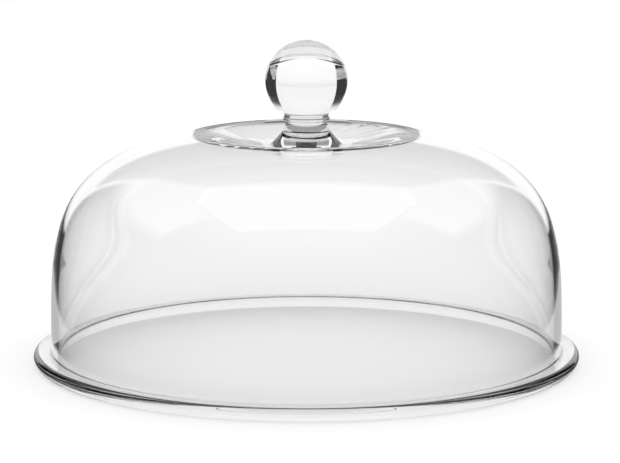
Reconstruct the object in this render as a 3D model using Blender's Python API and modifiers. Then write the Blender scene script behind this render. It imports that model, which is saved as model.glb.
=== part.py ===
"""Glass dome (cloche) of a cake stand: a clear bell with an out-turned rim, and a solid ball knob.

Metres, +Z up. The origin is the middle of the circle that the rim rests on.
Every piece is a turned shape, so each is one profile of (radius, height) points with a Screw
modifier. A profile runs from the axis down its outer side and back to the axis.
"""

from math import atan2, cos, hypot, pi, radians, sin

import bpy

MM = 0.001

# Bell: the outer outline is a superellipse, nearly upright at the foot and flat at the crown.
BELL_R = 142.75 * MM  # outer radius of the wall
BELL_Z0 = -30.0 * MM  # height of the superellipse's centre
BELL_H = 161.4 * MM  # its half height
BELL_P = 2.34  # its exponent across
BELL_Q = 5.85  # its exponent upwards
WALL = 3.9 * MM  # glass thickness

# Crown: a round crest, and a shallow dish inside it that the knob stands in.
CREST_R = 61.0 * MM
CREST_Z = 126.9 * MM
CREST_EASE_R = 48.0 * MM  # the dish's side rounds over to the crest from here
CREST_BLEND = 1.155  # angle on the superellipse, in radians, at which the crest begins
CREST_PULL = 0.45  # how far the curve between crest and superellipse follows each
DISH_R = 22.0 * MM  # flat seat in the middle of the dish
DISH_Z = 120.9 * MM
DISH_EASE_R = 36.0 * MM  # the dish's floor begins to rise before here

# Rim: the wall turns out into a thick flat ledge with a fully rounded edge.
RIM_R = 152.5 * MM  # outer radius of the whole dome
RIM_TOP_R = 149.1 * MM  # where the ledge's flat top ends
RIM_H = 6.8 * MM
RIM_WIDEST_Z = 3.7 * MM
LEDGE_FILLET = 1.0 * MM  # between the wall and the ledge
REST_OUT_R = 149.8 * MM  # the flat ring underneath, which the dome stands on
REST_IN_R = 142.2 * MM
LIP_FILLET = 3.3 * MM  # between that ring and the inside of the wall

# Knob foot: a button of glass dropped in the dish, drawn up into a waist.
FOOT_R = 20.2 * MM
FOOT_EDGE = 0.5 * MM
FOOT_H = 12.3 * MM
FLARE_R = 16.5 * MM  # the flare's pull, a quarter of the way up
FLARE_Z = 0.25 * FOOT_H
WAIST_R = 11.6 * MM
WAIST_EASE_R = 11.9 * MM  # the waist's pull, just over halfway up
WAIST_EASE_Z = 0.6 * FOOT_H

# Ball knob: a solid ball with a short neck that ends in a collar.
BALL_R = 22.75 * MM
BALL_Z = 22.4 * MM  # ball centre above the underside of the collar
BALL_END_Z = 6.8 * MM  # where the ball's surface stops
NECK_R = 12.3 * MM
NECK_TOP_R = 13.0 * MM  # a faint ring round the top of the neck
NECK_TOP_Z = 5.2 * MM
NECK_CURVE = 0.8 * MM
COLLAR_R = 13.0 * MM
COLLAR_Z = 1.6 * MM
COLLAR_HALF = 0.9 * MM
COLLAR_EDGE = 0.3 * MM

GAP = 0.3 * MM  # between pieces that touch
BELL_STEPS = 72
KNOB_STEPS = 48

GLASS = (0.93, 0.95, 0.95, 1.0)


def bezier(a, b, c, d, n):
    """Points along a cubic curve from a to d, without its last point."""
    points = []
    for i in range(n):
        t = i / n
        w = ((1 - t) ** 3, 3 * t * (1 - t) ** 2, 3 * t * t * (1 - t), t ** 3)
        points.append(tuple(w[0] * a[k] + w[1] * b[k] + w[2] * c[k] + w[3] * d[k] for k in (0, 1)))
    return points


def arc(r, z, rx, rz, start, end, n, last=False):
    """Points along an arc round (r, z), between two angles in degrees from +r towards +z."""
    angles = [radians(start + (end - start) * i / n) for i in range(n + last)]
    return [(r + rx * cos(a), z + rz * sin(a)) for a in angles]


def bell(angle):
    """A point of the bell's superellipse: angle 0 is the foot and pi / 2 the crown."""
    return (
        BELL_R * cos(angle) ** (2 / BELL_P),
        BELL_Z0 + BELL_H * sin(angle) ** (2 / BELL_Q),
    )


def inset(points, depth):
    """The points moved square to their line, to the inner side of a line that runs down."""
    moved = []
    for i, (r, z) in enumerate(points):
        before, after = points[max(i - 1, 0)], points[min(i + 1, len(points) - 1)]
        dr, dz = after[0] - before[0], after[1] - before[1]
        length = hypot(dr, dz)
        moved.append((r + depth * dz / length, z - depth * dr / length))
    return moved


def bell_profile():
    """The bell's closed outline, from the axis out over the crown, round the rim and back."""
    blend = bell(CREST_BLEND)
    above, below = bell(CREST_BLEND + 0.01), bell(CREST_BLEND - 0.01)
    slope = (below[1] - above[1]) / (below[0] - above[0])
    crest = (CREST_R, CREST_Z)
    dish = bezier((DISH_R, DISH_Z), (DISH_EASE_R, DISH_Z), (CREST_EASE_R, CREST_Z), crest, 5)
    reach = CREST_PULL * (blend[0] - CREST_R)
    over = bezier(
        crest,
        (CREST_R + reach, CREST_Z),
        (blend[0] - reach, blend[1] - reach * slope),
        blend,
        3,
    )
    foot_z = RIM_H + LEDGE_FILLET
    foot_angle = ((foot_z - BELL_Z0) / BELL_H) ** (BELL_Q / 2)
    rows = 13
    wall = [
        bell(foot_angle + (CREST_BLEND - foot_angle) * (1 - i / rows) ** 2)
        for i in range(rows + 1)
    ]
    outer = dish + over + wall
    inner = inset(outer, WALL)
    inner[0] = (DISH_R, DISH_Z - WALL)
    inner[-1] = (REST_IN_R - LIP_FILLET, foot_z)
    ledge_r = wall[-1][0] + LEDGE_FILLET
    edge_z = RIM_WIDEST_Z
    rim = (
        arc(ledge_r, foot_z, LEDGE_FILLET, LEDGE_FILLET, 180, 270, 3, True)[1:]
        + arc(RIM_TOP_R, edge_z, RIM_R - RIM_TOP_R, RIM_H - edge_z, 90, 0, 5)
        + arc(REST_OUT_R, edge_z, RIM_R - REST_OUT_R, edge_z, 0, -90, 4, True)
        + arc(REST_IN_R, LIP_FILLET, LIP_FILLET, LIP_FILLET, -90, -180, 3, True)
    )
    return [(0, DISH_Z)] + outer + rim + inner[::-1] + [(0, DISH_Z - WALL)]


def foot_profile():
    """The knob foot: a flat top under the collar, a flaring side and a flat underside."""
    side = bezier(
        (WAIST_R, FOOT_H),
        (WAIST_EASE_R, WAIST_EASE_Z),
        (FLARE_R, FLARE_Z),
        (FOOT_R, FOOT_EDGE),
        7,
    )
    return [(0, FOOT_H)] + side + [(FOOT_R, FOOT_EDGE), (FOOT_R - FOOT_EDGE, 0), (0, 0)]


def knob_profile():
    """The ball from its top down into the neck, then the collar and the flat underside."""
    drop = BALL_Z - BALL_END_Z
    reach = pi - atan2((BALL_R ** 2 - drop ** 2) ** 0.5, drop)
    rows = 18
    turns = [reach * i / rows for i in range(rows + 1)]
    ball = [(BALL_R * sin(a), BALL_Z + BALL_R * cos(a)) for a in turns]
    neck = bezier(
        (NECK_TOP_R, NECK_TOP_Z),
        (NECK_R, NECK_TOP_Z - NECK_CURVE),
        (NECK_R, NECK_TOP_Z - 2 * NECK_CURVE),
        (NECK_R, COLLAR_Z + COLLAR_HALF),
        3,
    )
    collar = arc(NECK_R, COLLAR_Z, COLLAR_R - NECK_R, COLLAR_HALF, 90, -90, 4, True)
    return ball + neck + collar + [(WAIST_R, COLLAR_EDGE), (WAIST_R, 0), (0, 0)]


def turned(name, profile, steps, z, parent, collection):
    """One turned solid, standing at height z above its parent."""
    mesh = bpy.data.meshes.new(name)
    edges = [(i, i + 1) for i in range(len(profile) - 1)]
    mesh.from_pydata([(r, 0, h) for r, h in profile], edges, [])
    ob = bpy.data.objects.new(name, mesh)
    collection.objects.link(ob)
    ob.location.z = z
    ob.parent = parent
    screw = ob.modifiers.new("turn", "SCREW")
    screw.axis = "Z"
    screw.steps = screw.render_steps = steps
    screw.use_merge_vertices = True
    screw.merge_threshold = 0.00001
    screw.use_smooth_shade = True
    mesh.materials.append(glass(name + "_glass"))
    return ob


def glass(name):
    """Clear colourless glass with a fire-polished surface."""
    mat = bpy.data.materials.new(name)
    mat.use_nodes = True
    shader = mat.node_tree.nodes["Principled BSDF"]
    shader.inputs["Base Color"].default_value = GLASS
    shader.inputs["Roughness"].default_value = 0.02
    shader.inputs["Metallic"].default_value = 0.0
    shader.inputs["IOR"].default_value = 1.5
    shader.inputs["Transmission Weight"].default_value = 1.0
    return mat


def build():
    for ob in list(bpy.data.objects):
        bpy.data.objects.remove(ob, do_unlink=True)
    parts = bpy.data.collections.new("cake_stand_dome")
    bpy.context.scene.collection.children.link(parts)
    shell = turned("dome_shell", bell_profile(), BELL_STEPS, 0, None, parts)
    foot = turned("knob_foot", foot_profile(), KNOB_STEPS, DISH_Z + GAP, shell, parts)
    turned("ball_knob", knob_profile(), KNOB_STEPS, FOOT_H + GAP, foot, parts)


build()
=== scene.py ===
"""The looks of the glass dome: fine turned glass, its materials, a pale floor and studio light."""

from math import atan2, cos, hypot, pi, radians, sin

import bpy
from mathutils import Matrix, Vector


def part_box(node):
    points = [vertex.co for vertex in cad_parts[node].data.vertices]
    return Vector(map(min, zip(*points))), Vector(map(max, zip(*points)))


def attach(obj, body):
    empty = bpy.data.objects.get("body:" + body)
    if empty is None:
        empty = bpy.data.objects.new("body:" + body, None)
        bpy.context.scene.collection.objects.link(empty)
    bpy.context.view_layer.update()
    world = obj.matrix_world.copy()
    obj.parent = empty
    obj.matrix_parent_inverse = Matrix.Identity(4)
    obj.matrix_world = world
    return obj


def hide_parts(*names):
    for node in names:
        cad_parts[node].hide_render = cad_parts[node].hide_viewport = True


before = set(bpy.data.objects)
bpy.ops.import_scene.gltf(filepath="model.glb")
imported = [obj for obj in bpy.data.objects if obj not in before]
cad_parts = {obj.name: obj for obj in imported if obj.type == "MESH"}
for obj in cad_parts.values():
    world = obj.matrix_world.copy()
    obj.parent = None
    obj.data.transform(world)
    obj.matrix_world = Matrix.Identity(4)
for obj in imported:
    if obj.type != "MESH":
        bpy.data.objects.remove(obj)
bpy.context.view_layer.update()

MM = 0.001

# Sizes that the frame gives.
SHELL_LOW, SHELL_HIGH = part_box("dome_shell")
FOOT_LOW, FOOT_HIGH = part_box("knob_foot")
BALL_LOW, BALL_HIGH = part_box("ball_knob")
RIM_R = SHELL_HIGH.x
CREST_Z = SHELL_HIGH.z
GAP = BALL_LOW.z - FOOT_HIGH.z
DISH_Z = FOOT_LOW.z - GAP
FOOT_R = FOOT_HIGH.x
COLLAR_Z = BALL_LOW.z
BALL_R = BALL_HIGH.x
BALL_Z = BALL_HIGH.z - BALL_R

# Bell: a superellipse, with the same glass thickness all over.
BELL_R = 142.75 * MM
BELL_Z0 = -30.0 * MM
BELL_H = 161.4 * MM
BELL_P = 2.34
BELL_Q = 5.85
WALL = 3.9 * MM

# Crown.
CREST_R = 61.0 * MM
CREST_EASE_R = 48.0 * MM
CREST_BLEND = 1.155
CREST_PULL = 0.45
DISH_R = 22.0 * MM
DISH_EASE_R = 36.0 * MM
RIPPLE = 0.03 * MM  # height of the rays in the dish
RAYS = 23
FINE_RAYS = 37
FINE_SHARE = 0.4  # of the ripple, for the fine rays
FINE_TURN = 1.3
TWIST = 0.35  # turn of a ray on its way out, in radians

# Rim.
RIM_TOP_R = 149.1 * MM
RIM_H = 6.8 * MM
RIM_WIDEST_Z = 3.7 * MM
LEDGE_FILLET = 1.0 * MM
REST_OUT_R = 149.8 * MM
REST_IN_R = 142.2 * MM
LIP_FILLET = 3.3 * MM

# Knob.
FLARE_R = 16.5 * MM
WAIST_R = 11.6 * MM
WAIST_EASE_R = 11.9 * MM
BALL_END_Z = 6.8 * MM
NECK_R = 12.3 * MM
NECK_TOP_R = 13.0 * MM
NECK_TOP_Z = 5.2 * MM
NECK_CURVE = 0.8 * MM
COLLAR_R = 13.0 * MM
COLLAR_MID = 1.6 * MM
COLLAR_HALF = 0.9 * MM
COLLAR_EDGE = 0.3 * MM

STEPS = 320  # facets round a turned piece

# Glass.
TINT = (0.96, 0.963, 0.962)
IOR = 1.5

# Light.
ROOM = 1.03  # brightness of the white room
DARK = 0.045  # brightness of a black flag
CEILING = 0.55  # brightness of what the glass mirrors from overhead
EVERYWHERE = (5.0, 6.0)  # fading heights above any flag, so that it is dark all over
FLAG_TOP = 2.4
SOFT_BOX = 2.4  # side of the square soft box
SOFT_BOX_Z = 2.3
SOFT_BOX_POWER = 12.5
FLOOR = 0.92  # whiteness of the floor
FLOOR_HALF = 20.0
FLOOR_DROP = 0.2 * MM  # the floor lies a hair under the rim
CARD_Z = 0.1 * MM
CARD_IN = 0.155  # inner radius of the floor card, just clear of the rim
INNER_CARD_R = 0.13

# Camera.
CAMERA = (0.002, -1.430, 0.320)
LOOK_DOWN = 9.85
LENS = 151.0


def bezier(a, b, c, d, n):
    """Points along a cubic curve from a to d, without its last point."""
    points = []
    for i in range(n):
        t = i / n
        w = ((1 - t) ** 3, 3 * t * (1 - t) ** 2, 3 * t * t * (1 - t), t ** 3)
        points.append(tuple(w[0] * a[k] + w[1] * b[k] + w[2] * c[k] + w[3] * d[k] for k in (0, 1)))
    return points


def arc(r, z, rx, rz, start, end, n, last=False):
    """Points along an arc round (r, z), between two angles in degrees from +r towards +z."""
    angles = [radians(start + (end - start) * i / n) for i in range(n + last)]
    return [(r + rx * cos(a), z + rz * sin(a)) for a in angles]


def bell(angle):
    """A point of the bell's superellipse: angle 0 is the foot and pi / 2 the crown."""
    return (
        BELL_R * cos(angle) ** (2 / BELL_P),
        BELL_Z0 + BELL_H * sin(angle) ** (2 / BELL_Q),
    )


def inset(points, depth):
    """The points moved square to their line, to the inner side of a line that runs down."""
    moved = []
    for i, (r, z) in enumerate(points):
        before, after = points[max(i - 1, 0)], points[min(i + 1, len(points) - 1)]
        dr, dz = after[0] - before[0], after[1] - before[1]
        length = hypot(dr, dz)
        moved.append((r + depth * dz / length, z - depth * dr / length))
    return moved


def bell_profile():
    """The bell's outline from the knob foot out over the crown, round the rim and back to the axis."""
    blend = bell(CREST_BLEND)
    above, below = bell(CREST_BLEND + 0.01), bell(CREST_BLEND - 0.01)
    slope = (below[1] - above[1]) / (below[0] - above[0])
    crest = (CREST_R, CREST_Z)
    dish = bezier((DISH_R, DISH_Z), (DISH_EASE_R, DISH_Z), (CREST_EASE_R, CREST_Z), crest, 40)
    reach = CREST_PULL * (blend[0] - CREST_R)
    over = bezier(
        crest,
        (CREST_R + reach, CREST_Z),
        (blend[0] - reach, blend[1] - reach * slope),
        blend,
        12,
    )
    foot_z = RIM_H + LEDGE_FILLET
    foot_angle = ((foot_z - BELL_Z0) / BELL_H) ** (BELL_Q / 2)
    rows = 72
    wall = [
        bell(foot_angle + (CREST_BLEND - foot_angle) * (1 - i / rows) ** 2)
        for i in range(rows + 1)
    ]
    outer = [(FOOT_R, DISH_Z)] + dish + over + wall
    inner = inset(outer, WALL)
    inner[0] = (FOOT_R, DISH_Z - WALL)
    inner[-1] = (REST_IN_R - LIP_FILLET, foot_z)
    ledge_r = wall[-1][0] + LEDGE_FILLET
    edge_z = RIM_WIDEST_Z
    rim = (
        arc(ledge_r, foot_z, LEDGE_FILLET, LEDGE_FILLET, 180, 270, 10, True)[1:]
        + [(ledge_r + (RIM_TOP_R - ledge_r) * i / 4, RIM_H) for i in (1, 2, 3)]
        + arc(RIM_TOP_R, edge_z, RIM_R - RIM_TOP_R, RIM_H - edge_z, 90, 0, 16)
        + arc(REST_OUT_R, edge_z, RIM_R - REST_OUT_R, edge_z, 0, -90, 14, True)
        + arc(REST_IN_R, LIP_FILLET, LIP_FILLET, LIP_FILLET, -90, -180, 12, True)
    )
    middle = [(FOOT_R * i / 4, DISH_Z - WALL) for i in (3, 2, 1, 0)]
    return outer + rim + inner[::-1] + middle


def foot_profile():
    """The knob foot's side, from the waist down to where it is fused to the bell."""
    rise = COLLAR_Z - DISH_Z
    side = bezier(
        (WAIST_R, COLLAR_Z),
        (WAIST_EASE_R, DISH_Z + 0.6 * rise),
        (FLARE_R, DISH_Z + 0.25 * rise),
        (FOOT_R, DISH_Z),
        28,
    )
    return side + [(FOOT_R, DISH_Z)]


def knob_profile():
    """The ball, neck and collar, from the ball's top down to where the foot is fused on."""
    drop = BALL_Z - COLLAR_Z - BALL_END_Z
    reach = pi - atan2((BALL_R ** 2 - drop ** 2) ** 0.5, drop)
    rows = 72
    turns = [reach * i / rows for i in range(rows + 1)]
    ball = [(BALL_R * sin(a), BALL_Z + BALL_R * cos(a)) for a in turns]
    top, middle = COLLAR_Z + NECK_TOP_Z, COLLAR_Z + COLLAR_MID
    neck = bezier(
        (NECK_TOP_R, top),
        (NECK_R, top - NECK_CURVE),
        (NECK_R, top - 2 * NECK_CURVE),
        (NECK_R, middle + COLLAR_HALF),
        10,
    )
    collar = arc(NECK_R, middle, COLLAR_R - NECK_R, COLLAR_HALF, 90, -90, 14, True)
    return ball + neck + collar + [(WAIST_R, COLLAR_Z + COLLAR_EDGE), (WAIST_R, COLLAR_Z)]


def level(r, z, angle):
    """The height of a plain turned surface's ripple."""
    return 0.0


def dish_ripple(r, z, angle):
    """Faint curved rays in the dish, where the hot knob was pressed on."""
    if z < DISH_Z - 1 * MM or r > CREST_R:
        return 0.0
    t = (r - FOOT_R) / (CREST_R - FOOT_R)
    swell = max(0.0, sin(pi * max(t, 0.0))) ** 0.7
    turn = angle + TWIST * t
    coarse, fine = sin(RAYS * turn), sin(FINE_RAYS * turn + FINE_TURN)
    rays = (1 - FINE_SHARE) * coarse + FINE_SHARE * fine
    return RIPPLE * swell * rays


def turned(name, profile, lift=level):
    """A smooth turned surface. lift gives how far to raise a point, from radius, height and angle."""
    verts, faces, rings = [], [], []
    for r, z in profile:
        if r < 1e-7:
            rings.append([len(verts)])
            verts.append((0, 0, z + lift(0, z, 0)))
            continue
        rings.append(list(range(len(verts), len(verts) + STEPS)))
        for k in range(STEPS):
            a = 2 * pi * k / STEPS
            verts.append((r * cos(a), r * sin(a), z + lift(r, z, a)))
    for upper, lower in zip(rings, rings[1:]):
        for k in range(STEPS):
            n = (k + 1) % STEPS
            if len(upper) == 1:
                faces.append((upper[0], lower[k], lower[n]))
            elif len(lower) == 1:
                faces.append((upper[k], lower[0], upper[n]))
            else:
                faces.append((upper[k], lower[k], lower[n], upper[n]))
    mesh = bpy.data.meshes.new(name)
    mesh.from_pydata(verts, [], faces)
    mesh.shade_smooth()
    ob = bpy.data.objects.new(name, mesh)
    bpy.context.scene.collection.objects.link(ob)
    return ob


def glass(name, wave, strength):
    """Clear glass whose surface waves very slightly, wave metres from crest to crest."""
    mat = bpy.data.materials.new(name)
    mat.use_nodes = True
    tree = mat.node_tree
    shader = tree.nodes["Principled BSDF"]
    shader.inputs["Base Color"].default_value = (*TINT, 1)
    shader.inputs["Roughness"].default_value = 0.0
    shader.inputs["IOR"].default_value = IOR
    shader.inputs["Transmission Weight"].default_value = 1.0
    place = tree.nodes.new("ShaderNodeTexCoord")
    noise = tree.nodes.new("ShaderNodeTexNoise")
    noise.inputs["Scale"].default_value = 1 / wave
    noise.inputs["Detail"].default_value = 2.0
    bump = tree.nodes.new("ShaderNodeBump")
    bump.inputs["Strength"].default_value = 1.0
    bump.inputs["Distance"].default_value = strength
    tree.links.new(place.outputs["Object"], noise.inputs["Vector"])
    tree.links.new(noise.outputs["Fac"], bump.inputs["Height"])
    tree.links.new(bump.outputs["Normal"], shader.inputs["Normal"])
    return mat


def piece(ob, mat, node):
    """ob stands for a CAD node of the part. Clear glass throws no shadow to speak of."""
    ob.data.materials.append(mat)
    ob.visible_shadow = False
    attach(ob, "root")
    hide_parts(node)


def plain(name, colour):
    """A matt surface of one colour."""
    mat = bpy.data.materials.new(name)
    mat.use_nodes = True
    shader = mat.node_tree.nodes["Principled BSDF"]
    shader.inputs["Base Color"].default_value = (*colour, 1)
    shader.inputs["Roughness"].default_value = 1.0
    shader.inputs["Specular IOR Level"].default_value = 0.0
    return mat


def sheet(name, corners, mat):
    """A flat stage panel through four corners."""
    mesh = bpy.data.meshes.new(name)
    mesh.from_pydata(corners, [], [range(len(corners))])
    mesh.materials.append(mat)
    ob = bpy.data.objects.new(name, mesh)
    bpy.context.scene.collection.objects.link(ob)
    return ob


def dimmed(name, low, high, dark=DARK, bright=ROOM, mirrors=0, walls=0):
    """A studio flag: dark up to the height low, and bright from the height high.

    It is there only for what glass shows, not for the light on the floor: for light that has met
    at least so many mirroring glass surfaces, and gone through at least so many others.
    """
    mat = bpy.data.materials.new(name)
    mat.use_nodes = True
    nodes, links = mat.node_tree.nodes, mat.node_tree.links
    nodes.remove(nodes["Principled BSDF"])
    place = nodes.new("ShaderNodeTexCoord")
    split = nodes.new("ShaderNodeSeparateXYZ")
    ramp = nodes.new("ShaderNodeMapRange")
    ramp.interpolation_type = "SMOOTHSTEP"
    ramp.inputs["From Min"].default_value = low
    ramp.inputs["From Max"].default_value = high
    ramp.inputs["To Min"].default_value = dark
    ramp.inputs["To Max"].default_value = bright
    glow = nodes.new("ShaderNodeEmission")
    clear = nodes.new("ShaderNodeBsdfTransparent")
    path = nodes.new("ShaderNodeLightPath")
    mix = nodes.new("ShaderNodeMixShader")
    links.new(place.outputs["Object"], split.inputs["Vector"])
    links.new(split.outputs["Z"], ramp.inputs["Value"])
    links.new(ramp.outputs["Result"], glow.inputs["Strength"])
    hidden = path.outputs["Diffuse Depth"]
    for least, depth in ((mirrors, "Glossy Depth"), (walls, "Transmission Depth")):
        fewer = nodes.new("ShaderNodeMath")
        fewer.operation = "LESS_THAN"
        fewer.inputs[1].default_value = least - 0.5
        either = nodes.new("ShaderNodeMath")
        either.operation = "MAXIMUM"
        links.new(path.outputs[depth], fewer.inputs[0])
        links.new(hidden, either.inputs[0])
        links.new(fewer.outputs["Value"], either.inputs[1])
        hidden = either.outputs["Value"]
    links.new(hidden, mix.inputs["Fac"])
    links.new(glow.outputs["Emission"], mix.inputs[1])
    links.new(clear.outputs["BSDF"], mix.inputs[2])
    links.new(mix.outputs["Shader"], nodes["Material Output"].inputs["Surface"])
    mat.cycles.emission_sampling = "NONE"
    return mat


def unseen(ob):
    """Leave ob to be seen only in glass."""
    ob.visible_camera = False
    ob.visible_diffuse = False
    ob.visible_shadow = False


def flag(name, a, b, low, high, mat):
    """An upright studio flag between two floor points."""
    unseen(sheet(name, [(*a, low), (*b, low), (*b, high), (*a, high)], mat))


def card(name, corners, mat):
    """A card lying on the floor."""
    unseen(sheet(name, [(x, y, CARD_Z) for x, y in corners], mat))


def flags():
    """Flags round the sides and the front, and small ones that only mirror images show."""
    soft = dimmed("soft_flag", 0.4, FLAG_TOP, bright=CEILING)
    crisp = dimmed("crisp_flag", 0.7, 1.1)
    mirror = dimmed("mirror_flag", *EVERYWHERE, mirrors=1)
    fan = dimmed("fan_flag", 0.150, 0.160, dark=0.3, mirrors=1)
    foot = dimmed("foot_flag", *EVERYWHERE, mirrors=1, walls=2)
    ceiling = dimmed("ceiling", -1.0, 0.0, bright=CEILING, mirrors=1)
    for side in (-1, 1):
        back, mid, front = (side * 0.84, 1.2), (side * 1.3, 0.3), (side * 1.3, -0.3)
        flag("flag_back", back, mid, 0.0, FLAG_TOP, crisp)
        flag("flag_mid", mid, front, 0.25 if side < 0 else 0.0, FLAG_TOP, crisp)
        flag("flag_front", front, (side * 1.0, -1.7), 0.0, FLAG_TOP, soft)
        flag("fan_flag", (side * 0.025, 0.15), (side * 0.07, 0.15), 0.137, 0.160, fan)
    flag("flag_camera", (-1.0, -1.7), (1.0, -1.7), 0.0, FLAG_TOP, soft)
    flag("flag_gap", (-1.3, 0.3), (-1.3, -0.3), 0.0, 0.25, mirror)
    flag("foot_flag", (-0.055, 0.2), (0.055, 0.2), 0.142, 0.18, foot)
    flag("ceiling_back", (-2.5, 4.5), (2.5, 4.5), 1.5, 5.5, ceiling)
    corners = [(x, y, FLAG_TOP) for x, y in ((-2, -2), (2, -2), (2, 2), (-2, 2))]
    unseen(sheet("ceiling", corners, ceiling))


def cards():
    """Cards on the floor: round the front and sides, under the dome, and one to each quarter."""
    mirror = dimmed("mirror_card", *EVERYWHERE, mirrors=1)
    grey = dimmed("grey_card", *EVERYWHERE, dark=0.5, mirrors=1)
    inner = dimmed("inner_card", *EVERYWHERE, dark=0.35, mirrors=1, walls=1)
    black = dimmed("black_card", *EVERYWHERE)
    right = [(CARD_IN, 0.0), (CARD_IN, 0.03), (0.23, 0.03), (0.26, 0.42), (0.22, 1.6)]
    right += [(1.3, 1.6), (1.3, -1.7)]
    left = [(-x, y) for x, y in right[::-1]]
    card("mirror_card", right + left + arc(0, 0, CARD_IN, CARD_IN, 180, 360, 32)[1:], mirror)
    edge = [(CARD_IN, 0.03), (0.23, 0.03), (0.26, 0.42), (0.17, 0.42)]
    for side in (-1, 1):
        card("grey_card", [(side * x, y) for x, y in edge], grey)
    card("inner_card", arc(0, 0, INNER_CARD_R, INNER_CARD_R, 0, 360, 64), inner)
    for across, along, near in ((-1, 1, 0.52), (1, 1, 0.52), (-1, -1, 0.6), (1, -1, 0.9)):
        corners = [(0.41 * near, 0.59 * near), (0.69 * near, 0.31 * near), (1.3, 0.3), (0.84, 1.2)]
        card("card", [(across * x, along * y) for x, y in corners], black)


def studio():
    """Pale floor, white room light, a soft box overhead, flags and cards."""
    half, z = FLOOR_HALF, -FLOOR_DROP
    corners = [(-half, -half, z), (half, -half, z), (half, half, z), (-half, half, z)]
    sheet("floor", corners, plain("floor", (FLOOR, FLOOR, FLOOR)))
    flags()
    cards()
    world = bpy.data.worlds.new("room")
    bpy.context.scene.world = world
    world.use_nodes = True
    background = world.node_tree.nodes["Background"]
    background.inputs["Color"].default_value = (1, 1, 1, 1)
    background.inputs["Strength"].default_value = ROOM
    lamp = bpy.data.lights.new("softbox", "AREA")
    lamp.shape = "SQUARE"
    lamp.size = SOFT_BOX
    lamp.energy = SOFT_BOX_POWER
    box = bpy.data.objects.new("softbox", lamp)
    box.location = (0, 0, SOFT_BOX_Z)
    box.visible_camera = False
    bpy.context.scene.collection.objects.link(box)


def camera():
    """The camera, a little above the dome and looking slightly down."""
    data = bpy.data.cameras.new("camera")
    data.sensor_width = 36.0
    data.lens = LENS
    ob = bpy.data.objects.new("camera", data)
    ob.location = CAMERA
    ob.rotation_euler = (radians(90 - LOOK_DOWN), 0, 0)
    bpy.context.scene.collection.objects.link(ob)
    bpy.context.scene.camera = ob


piece(
    turned("bell", bell_profile(), dish_ripple),
    glass("bell_glass", 0.05, 0.00002),
    "dome_shell",
)
piece(turned("foot", foot_profile()), glass("foot_glass", 0.02, 0.000005), "knob_foot")
piece(turned("knob", knob_profile()), glass("ball_glass", 0.03, 0.000008), "ball_knob")
studio()
camera()
scene = bpy.context.scene
scene.view_settings.view_transform = "Standard"
scene.cycles.max_bounces = 24
scene.cycles.transmission_bounces = 24
scene.cycles.glossy_bounces = 16
